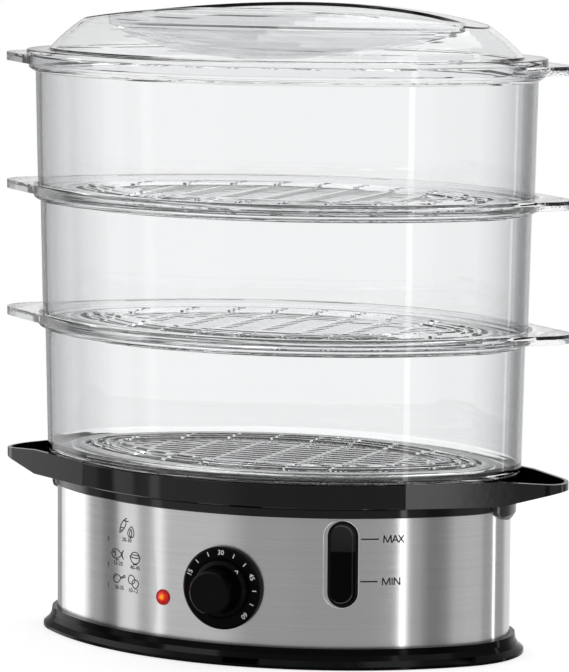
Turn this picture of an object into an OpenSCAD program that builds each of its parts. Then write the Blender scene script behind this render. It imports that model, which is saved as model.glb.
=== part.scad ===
// Electric food steamer: an oval steel-banded base with a water tank, heater and
// timer, a drip tray with two filling handles, three stacked clear baskets and a lid.
// Origin: on the table, below the middle of the oval body. Front (controls) towards -Y.

/* [Body oval] */
// Length of the steel band along X
body_length = 286; // [238:1:344]
// Radius of the oval's two ends: with the length it also sets the depth
end_radius = 45.98; // [38:0.01:56]
// Thickness of the steel band
band_wall = 0.8; // [0.5:0.1:1.2]

/* [Base heights] */
// Top of the black foot, where the steel starts to show
foot_height = 11.5; // [10:0.5:14]
// How far the foot flares out beyond the steel
foot_flare = 8.5; // [6:0.5:12]
// Underside of the tank's collar, where the steel stops showing
collar_z = 87.3; // [87:0.1:110]
// Visible height of the collar
collar_height = 5.7; // [4:0.1:9]
// Top of the tank's floor
tank_floor_z = 28.5; // [27:0.5:34]
// Wall of the tank and the foot
base_wall = 2.4; // [1.8:0.1:3.2]

/* [Tray] */
// Height of the drip tray's outer band
tray_height = 14.5; // [12:0.5:20]
// How deep a basket's foot ring drops into the rim below it
foot_drop = 2; // [1.5:0.1:3]

/* [Tiers] */
// Height from one basket rim to the next
tier_pitch = 77.5; // [60:0.5:93]
// Depth of the seat in a basket's rim
nest_depth = 7; // [6:0.5:10]
// Wall of the baskets and the lid
clear_wall = 2.2; // [1.8:0.1:2.6]
// How far the lowest basket's foot stands out beyond the steel
basket_out = 5.8; // [5:0.1:8]
// How much each basket is wider, all round, than the one below it
tier_step = 2.9; // [2.8:0.1:4]
// How much a basket's wall leans out between its foot and its rim
wall_lean = 1.4; // [0.6:0.1:1.8]
// Height of a rim's flange and of the handles on it
flange_height = 5.2; // [4:0.1:6]
// How far a flange stands out beyond its rim wall
flange_out = 2.6; // [1.5:0.1:4]
// How far the handles reach beyond the steel
handle_out = 37; // [32:1:44]
// Radius of a handle's tip
handle_tip_r = 18; // [14:1:20]
// Gap all round between pieces that lift out of each other
lift_fit = 0.4; // [0.3:0.05:0.6]
// Width of the slots in the basket floors
slot_w = 3.6; // [3:0.1:5]

/* [Lid] */
// Height of the dome's crest above the lid's underside
dome_height = 31.4; // [28:0.2:35]
// Radius of the crown, the dome's curve along its length
crown_r = 800; // [700:10:1400]
// Thickness of the lid's brim
brim_height = 3; // [2.4:0.1:4]
// Half the length of the recess in the top
recess_tip = 113; // [110:0.5:115]
// Half the width of the recess at its mouth
recess_half = 46; // [42:0.5:47]
// Height of the recess's floor above the lid's underside, in the middle
recess_floor = 3.2; // [3:0.2:6]
// Width of the grip bar at its foot
grip_width = 26; // [20:1:32]
// Height of the grip bar's top above the lid's underside
grip_height = 18.6; // [15:0.2:22]

/* [Controls] */
// Height of the timer's axis
timer_z = 44.2; // [42:0.1:50]
// Diameter of the printed dial plate
dial_d = 48.6; // [44:0.1:54]
// Diameter of the knob's grip
knob_d = 27; // [22:1:30]
// How far the knob's face stands out from the steel
knob_reach = 22; // [18:1:28]
// Radius of the timer's shaft
shaft_r = 3; // [2.5:0.1:3.6]
// Running gap round the shaft
shaft_fit = 0.05; // [0.02:0.01:0.1]
// Place of the pilot lamp across the front
lamp_x = -40.4; // [-46:0.1:-38]
// Height of the pilot lamp
lamp_z = 34.5; // [33:0.1:40]
// Diameter of the pilot lamp's lens
lamp_d = 9; // [7:0.5:10]
// Place of the water gauge across the front
gauge_x = 69; // [60:1:72]
// Height of the middle of the water gauge
gauge_z = 60.5; // [58:0.5:61]
// Width of the water gauge
gauge_w = 17.6; // [14:0.1:20]
// Height of the water gauge
gauge_h = 50.4; // [42:0.1:52]

/* [Heater] */
// Radius of the heater's dish where it passes through the tank floor
dish_r = 29.6; // [27:0.1:32]
// Height of the loose ring that stands round the heater
steam_ring_h = 50; // [36:1:52]

/* [Hidden] */
$fn = 96;

// Past a face that is cut through
cut = 0.5;

// The oval: two end arcs and two long arcs, a quarter turn each, that share their
// tangents where they meet. Their centres lie on a square's corners, and every offset
// of the oval keeps them, so one profile can run all round.
end_c = body_length / 2 - end_radius;
long_c = end_c;
long_radius = end_radius + end_c * sqrt(2);
half_depth = long_radius - long_c;
meet_a = 45;

// Points of the oval at an offset, in steps fine enough for hidden edges and cores
function oval_points(out, end_steps = 8, long_steps = 12) = concat(
    [for (i = [0:end_steps - 1])
        let (a = -meet_a + 2 * meet_a * i / end_steps)
        [end_c + (end_radius + out) * cos(a), (end_radius + out) * sin(a)]],
    [for (i = [0:long_steps - 1])
        let (a = meet_a + (180 - 2 * meet_a) * i / long_steps)
        [(long_radius + out) * cos(a), (long_radius + out) * sin(a) - long_c]],
    [for (i = [0:end_steps - 1])
        let (a = 180 - meet_a + 2 * meet_a * i / end_steps)
        [(end_radius + out) * cos(a) - end_c, (end_radius + out) * sin(a)]],
    [for (i = [0:long_steps - 1])
        let (a = 180 + meet_a + (180 - 2 * meet_a) * i / long_steps)
        [(long_radius + out) * cos(a), (long_radius + out) * sin(a) + long_c]]
);

// Points of an arc from angle a to angle b about a centre
function arc_points(centre, r, a, b, steps = 8) =
    [for (i = [0:steps]) centre + r * [cos(a + (b - a) * i / steps), sin(a + (b - a) * i / steps)]];

// Carries a profile, drawn as [offset, height], round the oval
module oval_sweep() {
    for (turn = [0, 180]) rotate([0, 0, turn]) {
        translate([end_c, 0, 0])
            rotate_extrude(angle = 2 * meet_a, start = -meet_a, $fn = 128)
                translate([end_radius, 0]) children();
        translate([0, long_c, 0])
            rotate_extrude(angle = 180 - 2 * meet_a, start = 180 + meet_a, $fn = 256)
                translate([long_radius, 0]) children();
    }
}

// Flat oval slab, for the middle of plates and for cores whose edge is hidden
module oval_slab(out, low, high, end_steps = 8, long_steps = 12) {
    translate([0, 0, low]) linear_extrude(high - low) polygon(oval_points(out, end_steps, long_steps));
}

// The lens that the two long arcs enclose at a deep inward offset
module lens(out, low, high) {
    intersection() {
        translate([0, long_c, low]) cylinder(r = long_radius + out, h = high - low, $fn = 256);
        translate([0, -long_c, low]) cylinder(r = long_radius + out, h = high - low, $fn = 256);
    }
}

// Middle of a handle's tip circle
tip_c = body_length / 2 + handle_out - handle_tip_r;

// Angle of the side that is tangent to the tip and to a rim's long arc or, where the
// end arc reaches further, to the end arc
function on_end(rim_out) = acos((end_radius + rim_out - handle_tip_r) / (tip_c - end_c)) < meet_a;
function side_angle(rim_out) = on_end(rim_out)
    ? acos((end_radius + rim_out - handle_tip_r) / (tip_c - end_c))
    : atan2(long_c, tip_c) + acos((long_radius + rim_out - handle_tip_r) / norm([tip_c, long_c]));
function side_root(rim_out, inset) = let (a = side_angle(rim_out)) on_end(rim_out)
    ? [end_c + (end_radius + rim_out - inset) * cos(a), (end_radius + rim_out - inset) * sin(a)]
    : [(long_radius + rim_out - inset) * cos(a), (long_radius + rim_out - inset) * sin(a) - long_c];

// Outline of a handle: straight sides that leave a rim and end in a round tip
module handle_outline(rim_out, inset = 0) {
    a = side_angle(rim_out);
    tip = (handle_tip_r - inset) * [cos(a), sin(a)];
    root = side_root(rim_out, inset);
    polygon([
        [root[0], -root[1]],
        [tip_c + tip[0], -tip[1]],
        [tip_c + tip[0], tip[1]],
        root
    ]);
    translate([tip_c, 0]) circle(handle_tip_r - inset);
}

// The two ends of the object
module both_ends() {
    children();
    mirror([1, 0, 0]) children();
}

// Places a piece on the front of the band: local +Z points outwards, +Y up
module on_front(x, z) {
    translate([0, long_c, 0])
        rotate([0, 0, asin(x / long_radius)])
            translate([0, -long_radius, z])
                rotate([90, 0, 0]) children();
}

// The same on the back, at the mirrored place
module on_back(x, z) {
    rotate([0, 0, 180]) on_front(x, z) children();
}

// Slot with round ends, standing up
module stadium(w, h) {
    square([w, h - w], center = true);
    for (end = [-1, 1]) translate([0, end * (h - w) / 2]) circle(w / 2);
}

// ---------- places that several pieces share ----------

seam = 0.25;                                     // between the band and the plastic beside it
band_in = -band_wall;
band_low = foot_height - 2.5;
tank_out = band_in - 0.8;
tank_in = tank_out - base_wall;
tank_low = tank_floor_z - base_wall;
tank_top = collar_z + collar_height;
collar_out = 1.6;
upstand_out = band_in - seam;
plate_low = 2.5;
plate_high = plate_low + base_wall;

post_x = end_c - 16;
post_y = half_depth - 46;
post_r = 5.5;
post_top = 14;
screw_r = 1.9;

pad_x = end_c + 4;
pad_y = half_depth - 58;
pad_r = 7;
pad_stem_r = 2.5;

gland_x = 58;
gland_z = 19;
gland_r = 5.4;
gland_flange = 7.2;
cord_r = 3.4;

// ---------- base ----------

module at_posts() {
    for (sx = [-1, 1], sy = [-1, 1]) translate([sx * post_x, sy * post_y, 0]) children();
}

module at_pads() {
    for (sx = [-1, 1], sy = [-1, 1]) translate([sx * pad_x, sy * pad_y, 0]) children();
}

// Foot: flared rim, groove for the band, upstand inside it and the bottom plate
module base_cover() {
    color("#161616") difference() {
        union() {
            oval_sweep() polygon([
                [foot_flare - 2.7, 0], [foot_flare, 0], [foot_flare, 1.8],
                [foot_flare - 3.2, 4.6], [foot_flare - 4.7, 7.6], [foot_flare - 5.3, foot_height],
                [seam, foot_height], [seam, band_low], [upstand_out, band_low],
                [upstand_out, tank_low], [upstand_out - base_wall, tank_low],
                [upstand_out - base_wall, plate_high], [-20, plate_high], [-20, plate_low],
                [foot_flare - 4.2, plate_low]
            ]);
            oval_slab(-18, plate_low, plate_high);
            at_posts() translate([0, 0, plate_low]) cylinder(r = post_r, h = post_top - plate_low);
        }
        at_posts() translate([0, 0, plate_low - cut]) cylinder(r = screw_r + 0.2, h = post_top);
        at_posts() translate([0, 0, plate_low - cut]) cylinder(r = post_r - 1.5, h = 3.6);
        at_pads() translate([0, 0, plate_low - cut]) cylinder(r = pad_stem_r, h = base_wall + 2 * cut);
        vents();
        on_front(0, timer_z) translate([-case_half - seam, -case_half - seam, -12])
            cube([2 * (case_half + seam), 2 * case_half, 14]);
        on_back(gland_x, gland_z) translate([0, 0, -12]) cylinder(r = gland_r, h = 14);
    }
}

// Cooling slots in the bottom plate
vent_rows = 6;
vent_pitch = 15;
module vents() {
    for (row = [0:vent_rows - 1], side = [-1, 1])
        translate([(row - (vent_rows - 1) / 2) * vent_pitch - 1.5, side * 44 - 9, plate_low - cut])
            cube([3, 18, base_wall + 2 * cut]);
}

// Four rubber rests, level with the foot's rim, each with a stem through the plate
module rest_pads() {
    color("#202020") at_pads() {
        cylinder(r = pad_r, h = plate_low);
        translate([0, 0, plate_low]) cylinder(r = pad_stem_r, h = base_wall);
        translate([0, 0, plate_high]) cylinder(r = pad_stem_r + 1.2, h = 1.4);
    }
}

module band_profile() {
    translate([band_in, band_low]) square([band_wall, collar_z - band_low]);
}

// Long stretch of the steel wrap, in front or, turned by 180 degrees, behind
module band_long(turn) {
    rotate([0, 0, turn]) translate([0, long_c, 0])
        rotate_extrude(angle = 180 - 2 * meet_a, start = 180 + meet_a, $fn = 256)
            translate([long_radius, 0]) band_profile();
}

// Round end of the steel wrap, on the right or, turned by 180 degrees, on the left
module band_end(turn) {
    color("#c4c6c8") rotate([0, 0, turn]) translate([end_c, 0, 0])
        rotate_extrude(angle = 2 * meet_a, start = -meet_a, $fn = 128)
            translate([end_radius, 0]) band_profile();
}

// Front of the wrap with the openings for the dial, the lamp and the gauge
module band_front() {
    color("#c4c6c8") difference() {
        band_long(0);
        on_front(0, timer_z) translate([0, 0, -4]) cylinder(r = neck_r + 0.3, h = 8);
        at_timer_screws() translate([0, 0, -4]) cylinder(r = timer_screw_r + 0.2, h = 8);
        on_front(lamp_x, lamp_z) translate([0, 0, -4]) cylinder(r = lamp_shank_r + 0.1, h = 8);
        on_front(gauge_x, gauge_z) translate([0, 0, -4]) linear_extrude(8)
            stadium(gauge_w + 0.2, gauge_h + 0.2);
    }
}

// Back of the wrap with the hole for the cord's grommet
module band_rear() {
    color("#c4c6c8") difference() {
        band_long(180);
        on_back(gland_x, gland_z) translate([0, 0, -4]) cylinder(r = gland_r, h = 8);
    }
}

// Tank: collar on the band's edge, wall, floor with the heater's opening, a bay in the
// front for the timer and the lamp, and a bulge at each end below the filling handles
bay_left = lamp_x - 12;
bay_right = 30;
bay_back = 44;
bay_top = timer_z + 29;
lip_out = 3.2;
lip_low = collar_z - 6.3;
lip_half = 17;
lip_r = (lip_half * lip_half + pow(collar_z - lip_low, 2)) / (2 * (collar_z - lip_low));

module tank_bay(grow) {
    translate([bay_left - grow, -half_depth - 10, tank_low - (grow > 0 ? 0 : cut)])
        cube([
            bay_right - bay_left + 2 * grow,
            half_depth + 10 - bay_back + grow,
            bay_top - tank_low + (grow > 0 ? grow : cut)
        ]);
}

module water_tank() {
    color("#141414") difference() {
        union() {
            oval_sweep() polygon([
                [tank_out, tank_low], [tank_out, collar_z], [collar_out - 0.5, collar_z],
                [collar_out, collar_z + 0.5], [collar_out, tank_top - 0.8], [collar_out - 0.8, tank_top],
                [tank_in, tank_top], [tank_in, tank_floor_z], [-20, tank_floor_z], [-20, tank_low]
            ]);
            oval_slab(-18, tank_low, tank_floor_z);
            intersection() {
                tank_bay(base_wall);
                oval_slab((tank_in + tank_out) / 2, tank_low, tank_top, 16, 40);
            }
            both_ends() collar_lip();
            at_posts() translate([0, 0, post_top]) cylinder(r = post_r - 0.5, h = tank_low - post_top + 1);
        }
        tank_bay(0);
        at_posts() translate([0, 0, post_top - cut]) cylinder(r = screw_r, h = 11);
        translate([0, heater_y, tank_low - cut]) cylinder(r = floor_hole_r, h = base_wall + 2 * cut);
        on_front(gauge_x, gauge_z) translate([0, 0, -8]) linear_extrude(10) stadium(gauge_w, gauge_h);
    }
}

// Bulge below a filling handle: an end stretch of the collar, cut to a round lower edge
module collar_lip() {
    intersection() {
        translate([end_c, 0, 0])
            rotate_extrude(angle = 2 * meet_a, start = -meet_a, $fn = 128)
                translate([end_radius, 0]) polygon([
                    [seam, lip_low], [lip_out - 1.5, lip_low], [lip_out, lip_low + 3],
                    [lip_out, tank_top - 2], [lip_out - 1.2, tank_top - 0.6],
                    [collar_out - 1.2, tank_top - 0.6], [collar_out - 1.2, collar_z + 1], [seam, collar_z + 1]
                ]);
        translate([end_c, 0, lip_low + lip_r]) rotate([0, 90, 0]) cylinder(r = lip_r, h = end_radius + 20);
    }
}

// Screws that hold the foot to the tank, heads in the posts' pockets
module cover_screws() {
    head_h = 2.4;
    color("#9a9da0") at_posts() {
        translate([0, 0, plate_low - cut + 3.6 - head_h]) cylinder(r = post_r - 1.8, h = head_h);
        translate([0, 0, plate_low - cut + 3.6]) cylinder(r = screw_r, h = 17);
    }
}

// Grommet where a cord would enter, with its bore left open
module cord_gland() {
    inside = upstand_out - base_wall;
    color("#1c1c1c") on_back(gland_x, gland_z) difference() {
        union() {
            cylinder(r = gland_flange, h = 2.4);
            translate([0, 0, inside - 2.6]) cylinder(r = gland_r, h = 2.6 - inside);
            translate([0, 0, inside - 2.6]) cylinder(r = gland_flange - 1.2, h = 2.2);
        }
        translate([0, 0, inside - 3]) cylinder(r = cord_r, h = 10);
    }
}

// ---------- heater ----------

heater_y = 8;
floor_hole_r = dish_r + 2.4;
seal_h = 2;
dish_low = 18;
rim_r = dish_r + 6.8;
clamp_in = 22;
clamp_screw_at = 25.6;
tube_bend_r = 16;
tube_r = 3.2;
tube_z = dish_low - tube_r;

module at_heater() {
    translate([0, heater_y, 0]) children();
}

module at_clamp_screws() {
    at_heater() for (i = [0:2]) rotate([0, 0, 30 + 120 * i]) translate([clamp_screw_at, 0, 0]) children();
}

// Cast dish: rim on the seal, body through the floor, shallow hollow on top
module heater_plate() {
    top = tank_floor_z + seal_h;
    color("#b8babd") difference() {
        at_heater() rotate_extrude() polygon([
            [0, dish_low], [dish_r, dish_low], [dish_r, top], [rim_r, top], [rim_r, top + 1.6],
            [rim_r - 1, top + 2.4], [dish_r - 2, top + 2.4], [dish_r - 5, top + 0.8], [0, top + 0.4]
        ]);
        at_clamp_screws() translate([0, 0, dish_low - cut]) cylinder(r = 1.5, h = 6 + cut);
    }
}

// Soft ring with a sleeve that lines the hole in the floor
module heater_seal() {
    color("#8c3b2c") at_heater() rotate_extrude() polygon([
        [dish_r, tank_low], [floor_hole_r, tank_low], [floor_hole_r, tank_floor_z],
        [rim_r - 0.6, tank_floor_z], [rim_r - 0.6, tank_floor_z + seal_h], [dish_r, tank_floor_z + seal_h]
    ]);
}

// Stepped ring that draws the dish down onto the seal
module clamp_ring() {
    color("#8e9194") difference() {
        at_heater() rotate_extrude() polygon([
            [clamp_in, dish_low - 1.6], [floor_hole_r + 1.6, dish_low - 1.6],
            [floor_hole_r + 1.6, tank_low - 1.6], [floor_hole_r + 6, tank_low - 1.6],
            [floor_hole_r + 6, tank_low], [floor_hole_r, tank_low], [floor_hole_r, dish_low],
            [clamp_in, dish_low]
        ]);
        at_clamp_screws() translate([0, 0, dish_low - 4]) cylinder(r = 1.7, h = 8);
    }
}

module clamp_screws() {
    color("#a7aaad") at_clamp_screws() {
        translate([0, 0, dish_low - 1.6 - 1.8]) cylinder(r = 2.8, h = 1.8);
        translate([0, 0, dish_low - 1.6]) cylinder(r = 1.5, h = 6.6);
    }
}

// Horseshoe element under the dish, with a block and a pin at each end
tube_gap_a = 30;
tube_pin_r = 1.2;
tube_block_h = 7;
tube_end = tube_bend_r * [sin(tube_gap_a), cos(tube_gap_a)];

module heating_tube() {
    color("#77797b") at_heater() {
        translate([0, 0, tube_z])
            rotate_extrude(angle = 360 - 2 * tube_gap_a, start = 90 + tube_gap_a)
                translate([tube_bend_r, 0]) circle(tube_r, $fn = 32);
        for (side = [-1, 1]) translate([side * tube_end[0], tube_end[1], 0]) {
            translate([0, 0, dish_low - tube_block_h]) cylinder(r = tube_r + 0.5, h = tube_block_h);
            translate([0, 0, pin_low]) cylinder(r = tube_pin_r, h = dish_low - tube_block_h - pin_low);
        }
    }
}

// Disc thermostat pressed against the dish, with its two tabs
stat_r = 7.5;
stat_h = 6;
stat_tab = 3;
stat_tab_x = 5.4;
module thermostat() {
    color("#d8d4c4") at_heater() {
        translate([0, 0, dish_low - stat_h]) cylinder(r = stat_r, h = stat_h);
        for (side = [-1, 1]) translate([side * stat_tab_x - 0.4, -3, dish_low - stat_h - stat_tab])
            cube([0.8, 6, stat_tab]);
    }
}

// One-shot fuse along the dish beside the thermostat
fuse_r = 1.6;
fuse_y = 9.8;
fuse_half = 4.4;
module thermal_fuse() {
    color("#c9b27a") at_heater() translate([-fuse_half, fuse_y, dish_low - fuse_r])
        rotate([0, 90, 0]) cylinder(r = fuse_r, h = 2 * fuse_half);
}

// ---------- timer, lamp and gauge ----------

neck_r = 5;
timer_screw_r = 1.5;
timer_screw_x = 14;
case_half = 21;
case_depth = 22;
band_inside_r = long_radius - band_wall;
case_front = -(long_radius - sqrt(band_inside_r * band_inside_r - case_half * case_half));
case_back = case_front - case_depth;
shaft_low = case_back + 8;
knob_bore_top = knob_reach - 6;

module at_timer_screws() {
    on_front(0, timer_z) for (side = [-1, 1]) translate([side * timer_screw_x, 0, 0]) children();
}

// Clockwork housing with its threaded neck and the bearing bore for the shaft
module timer_case() {
    edge = 3;
    color("#d9d6cc") difference() {
        union() {
            on_front(0, timer_z) translate([0, 0, case_back]) linear_extrude(case_depth) {
                square([2 * case_half, 2 * (case_half - edge)], center = true);
                square([2 * (case_half - edge), 2 * case_half], center = true);
                for (sx = [-1, 1], sy = [-1, 1])
                    translate([sx * (case_half - edge), sy * (case_half - edge)]) circle(edge);
            }
            on_front(0, timer_z) translate([0, 0, case_front - 1]) cylinder(r = neck_r, h = 1.6 - case_front);
        }
        on_front(0, timer_z) translate([0, 0, shaft_low - 1]) cylinder(r = shaft_r + shaft_fit, h = 30);
        at_timer_screws() translate([0, 0, case_front - 8]) cylinder(r = timer_screw_r, h = 9);
    }
}

// Gong on a stud behind the housing
bell_r = 13;
bell_depth = 6;
module timer_bell() {
    wall = 1;
    color("#b9bcbf") on_front(0, timer_z) translate([0, 0, case_back - 2 - bell_depth]) {
        rotate_extrude() polygon(concat(
            [[0, 0]],
            arc_points([bell_r - 4, 4], 4, -90, 0, 5), [[bell_r, bell_depth], [bell_r - wall, bell_depth]],
            arc_points([bell_r - 4, 4], 4 - wall, 0, -90, 5), [[0, wall]]
        ));
        cylinder(r = 1.6, h = bell_depth + 2);
    }
}

module timer_screws() {
    color("#a7aaad") at_timer_screws() {
        translate([0, 0, -0.3]) cylinder(r = 2.8, h = 1.6);
        translate([0, 0, case_front - 7]) cylinder(r = timer_screw_r, h = 6.7 - case_front);
    }
}

// Round plate with the minute scale: its back follows the band
dial_face = 4.2;
dial_well_r = 18;
dial_well_z = 3.4;
module dial_plate() {
    dial_r = dial_d / 2;
    rim = 2.4;
    color("#121212") difference() {
        on_front(0, timer_z) rotate_extrude() polygon([
            [neck_r + 0.3, dial_well_z - 1.6], [neck_r + 0.3, dial_well_z], [dial_well_r, dial_well_z],
            [dial_well_r, dial_face], [dial_r - 1.2, dial_face], [dial_r, dial_face - 1.2],
            [dial_r, -3], [dial_r - rim, -3], [dial_r - rim, dial_well_z - 1.6]
        ]);
        translate([0, long_c, 0]) cylinder(r = long_radius, h = 2 * timer_z, $fn = 256);
    }
}

module timer_shaft() {
    color("#caccce") on_front(0, timer_z) translate([0, 0, shaft_low])
        cylinder(r = shaft_r, h = knob_bore_top - shaft_low);
}

// Knob: skirt with the pointer, and a tapered grip
module timer_knob() {
    grip = knob_d / 2;
    skirt = dial_well_r - 0.8;
    low = dial_well_z + 0.4;
    color("#151515") on_front(0, timer_z) rotate_extrude() polygon([
        [shaft_r, low], [skirt, low], [skirt, low + 1.4], [skirt - 0.8, low + 2.2],
        [grip + 0.8, low + 3], [grip, low + 4.4], [grip - 0.7, knob_reach - 1.4],
        [grip - 2, knob_reach], [0, knob_reach], [0, knob_bore_top], [shaft_r, knob_bore_top]
    ]);
}

lamp_shank_r = lamp_d / 2 - 0.6;
lamp_wall = 0.7;
lamp_deep = 20;
lamp_block = 9;

// Lamp holder: bezel, barrel through the band and terminal block behind
module lamp_body() {
    color("#d6d2ca") on_front(lamp_x, lamp_z) difference() {
        union() {
            cylinder(r1 = lamp_d / 2 + 0.3, r2 = lamp_d / 2, h = 1);
            translate([0, 0, -lamp_deep + 2]) cylinder(r = lamp_shank_r, h = lamp_deep - 2);
            translate([-lamp_block / 2, -lamp_block / 2, -lamp_deep]) cube([lamp_block, lamp_block, 6]);
        }
        translate([0, 0, -6]) cylinder(r = lamp_shank_r - lamp_wall, h = 8);
    }
}

module lamp_lens() {
    r = lamp_shank_r - lamp_wall;
    dome = 1.6;
    color("#e2341c") on_front(lamp_x, lamp_z) rotate_extrude() polygon(concat(
        [[0, -6], [r, -6], [r, 1]],
        arc_points([0, 1 + dome - (r * r + dome * dome) / (2 * dome)], (r * r + dome * dome) / (2 * dome),
            90 - asin(2 * r * dome / (r * r + dome * dome)), 90, 6)
    ));
}

gauge_frame = 1.6;
gauge_deep = 6.2;

// Dark frame of the gauge, with its lip inside the tank
module gauge_seal() {
    color("#1b1b1d") on_front(gauge_x, gauge_z) difference() {
        union() {
            translate([0, 0, -gauge_deep]) linear_extrude(gauge_deep + 0.5) stadium(gauge_w, gauge_h);
            translate([0, 0, -gauge_deep]) linear_extrude(1.6) stadium(gauge_w + 4, gauge_h);
        }
        translate([0, 0, -gauge_deep - cut]) linear_extrude(gauge_deep + 2)
            stadium(gauge_w - 2 * gauge_frame, gauge_h - 2 * gauge_frame);
    }
}

module gauge_window() {
    pane = 2;
    w = gauge_w - 2 * gauge_frame;
    h = gauge_h - 2 * gauge_frame;
    color([0.75, 0.8, 0.85, 0.5]) on_front(gauge_x, gauge_z) difference() {
        translate([0, 0, -gauge_deep]) linear_extrude(gauge_deep + 0.1) stadium(w, h);
        translate([0, 0, -gauge_deep - cut]) linear_extrude(gauge_deep + cut + 0.1 - pane) stadium(w - 4, h - 4);
    }
}

// ---------- wiring ----------

block_x = -30;
block_y = half_depth - 28;
block_w = 30;
block_d = 13;
block_h = 10;
block_ways = 3;
way_pitch = 9;
wire_r = 1.1;
thin_wire_r = 0.8;
way_z = plate_high + 5;
block_face = block_y - block_d / 2;
way_depth = 4;
floor_run = plate_high + 1.5;
lamp_run = way_z + 3.4;
pin_low = 9.2;
timer_low = timer_z - case_half;
timer_tab_y = 16 - half_depth;
left_run = -47;

function way(i, deep) = [block_x + (i - (block_ways - 1) / 2) * way_pitch, block_face + deep, way_z];

// A place behind the band's front: beside its own middle line and at a depth
function behind_front(x, side, depth) = let (a = asin(x / long_radius)) [
    (long_radius - depth) * sin(a) + side * cos(a),
    long_c - (long_radius - depth) * cos(a) + side * sin(a)
];

module terminal_block() {
    color("#e4e0d4") difference() {
        translate([block_x - block_w / 2, block_face, plate_high]) cube([block_w, block_d, block_h]);
        for (i = [0:block_ways - 1]) {
            translate(way(i, -cut)) rotate([-90, 0, 0]) cylinder(r = wire_r, h = way_depth + cut, $fn = 24);
            translate(way(i, block_d / 2) + [0, 0, block_h - 8]) cylinder(r = 2, h = 4, $fn = 24);
        }
    }
}

// A lead: straight runs with round corners
module lead(points, r = wire_r) {
    for (i = [0:len(points) - 2]) {
        run = points[i + 1] - points[i];
        translate(points[i])
            rotate([0, acos(run[2] / norm(run)), atan2(run[1], run[0])])
                cylinder(r = r, h = norm(run), $fn = 16);
    }
    for (i = [1:len(points) - 2]) translate(points[i]) sphere(r, $fn = 16);
}

// Carries a plan position to a height
function at_z(p, z) = [p[0], p[1], z];

module wiring() {
    lamp_left = behind_front(lamp_x, -2.5, lamp_deep - 3);
    lamp_right = behind_front(lamp_x, 2.5, lamp_deep - 3);
    lamp_low = lamp_z - lamp_block / 2;
    fuse_z = dish_low - fuse_r;
    fuse_y_at = heater_y + fuse_y;
    pin_y = heater_y + tube_end[1];
    color("#7a2f22") {
        // terminals to the timer
        lead([
            way(0, way_depth), way(0, -6), [left_run, block_face - 6, way_z],
            [left_run, timer_tab_y - 4, way_z], [-stat_tab_x, timer_tab_y - 4, way_z],
            [-stat_tab_x, timer_tab_y - 4, timer_low]
        ]);
        // terminals to the heater's near pin
        lead([
            way(1, way_depth), way(1, -7), at_z(way(1, -7), floor_run),
            [-tube_end[0], block_face - 7, floor_run], [-tube_end[0], pin_y, floor_run],
            [-tube_end[0], pin_y, pin_low]
        ]);
        // terminals to the lamp
        lead([
            way(2, way_depth), [way(2, 0)[0], lamp_left[1] + 10, way_z],
            [lamp_left[0], lamp_left[1] + 10, way_z], at_z(lamp_left, way_z), at_z(lamp_left, lamp_low)
        ]);
        // lamp to the timer
        lead([
            at_z(lamp_right, lamp_low), at_z(lamp_right, lamp_run), [0, lamp_right[1], lamp_run],
            [0, lamp_right[1], timer_low]
        ]);
        // timer to the thermostat
        lead([
            [stat_tab_x, timer_tab_y, timer_low], [stat_tab_x, timer_tab_y, floor_run],
            [stat_tab_x, heater_y, floor_run], [stat_tab_x, heater_y, dish_low - stat_h - stat_tab]
        ]);
        // thermostat to the fuse and on to the heater's far pin
        lead([
            [-stat_tab_x, heater_y, dish_low - stat_h - stat_tab], [-stat_tab_x, heater_y, floor_run],
            [-stat_tab_x, fuse_y_at, floor_run], [-stat_tab_x, fuse_y_at, fuse_z],
            [-fuse_half, fuse_y_at, fuse_z]
        ], thin_wire_r);
        lead([
            [fuse_half, fuse_y_at, fuse_z], [stat_tab_x, fuse_y_at, fuse_z],
            [stat_tab_x, fuse_y_at, floor_run], [tube_end[0], fuse_y_at, floor_run],
            [tube_end[0], pin_y, floor_run], [tube_end[0], pin_y, pin_low]
        ], thin_wire_r);
    }
}

// ---------- pieces that lift off ----------

steam_ring_r = rim_r + 5.6;
steam_ring_wall = 2;

// Loose ring round the heater, with water inlets along its foot
module steam_ring() {
    inlet = [12, 9];
    color("#e8e8e6") difference() {
        at_heater() translate([0, 0, tank_floor_z]) rotate_extrude() polygon([
            [steam_ring_r - steam_ring_wall, 0], [steam_ring_r, 0], [steam_ring_r - 2, steam_ring_h - 2],
            [steam_ring_r, steam_ring_h - 2], [steam_ring_r, steam_ring_h],
            [steam_ring_r - 2 - steam_ring_wall, steam_ring_h]
        ]);
        at_heater() for (a = [45:90:315]) rotate([0, 0, a])
            translate([steam_ring_r - 6, -inlet[0] / 2, tank_floor_z - cut]) cube([12, inlet[0], inlet[1] + cut]);
    }
}

tray_top = tank_top + tray_height;
tray_out = collar_out + 3;
tray_wall = 2.4;
tray_in = tray_out - tray_wall;
tray_low = tank_top - 7;
tray_skirt = tank_in - lift_fit;
ledge_top = tank_top + base_wall;
basin_top = tray_low + base_wall;
tray_end = body_length / 2 + tray_out;
tip_x = body_length / 2 + handle_out;
handle_tip_drop = 3;
handle_tip_h = 3.6;
fill_r = 6;
fill_x = body_length / 2 + tray_skirt - base_wall - fill_r - 0.4;
chimney_wall = 2;
chimney_top = tray_top - 7;

module tray_chimneys(grow, low, high) {
    for (at = [[0, 0, 15], [-58, 0, 13], [58, 0, 13]])
        translate([at[0], at[1], low]) cylinder(r = at[2] + grow, h = high - low);
}

// Side view of a filling handle: the shell and the scoop in it
module scoop_side(low_root, low_tip, high_root, high_tip) {
    rotate([90, 0, 0]) translate([0, 0, -80]) linear_extrude(160) polygon([
        [end_c, low_root], [tray_end + 2, low_root], [tip_x + 2, low_tip],
        [tip_x + 2, high_tip], [tray_end + 2, high_root], [end_c, high_root]
    ]);
}

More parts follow.
